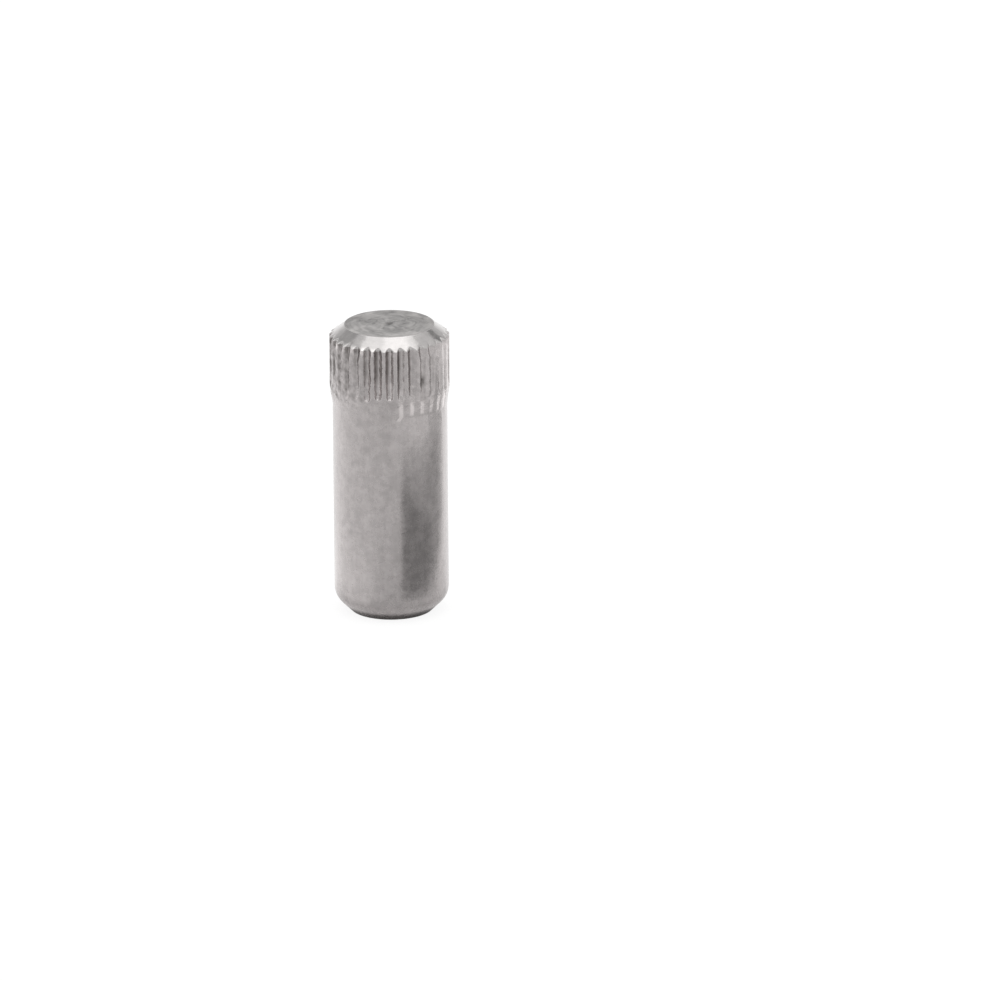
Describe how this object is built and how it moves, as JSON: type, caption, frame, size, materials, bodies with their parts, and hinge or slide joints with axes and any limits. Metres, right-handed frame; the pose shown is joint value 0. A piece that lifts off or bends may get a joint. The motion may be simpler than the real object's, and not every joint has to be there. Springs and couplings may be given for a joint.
{
  "type": "knurled pin",
  "caption": "Round steel press-in pin with a plain shank, a short straight knurl at one end and chamfered flat ends.",
  "frame": {"origin": "centre of the plain end's flat face, which the pin stands on", "axes": "+Z along the pin's axis, towards the knurled end; a knurl groove lies on the -Y side"},
  "size_m": [0.0064, 0.0064, 0.0156],
  "materials": {
    "steel": "fine satin from grinding, duller in the knurl's grooves, with a slightly mottled turned end face"
  },
  "bodies": {
    "root": {"knurled_pin": "steel"}
  },
  "joints": []
}
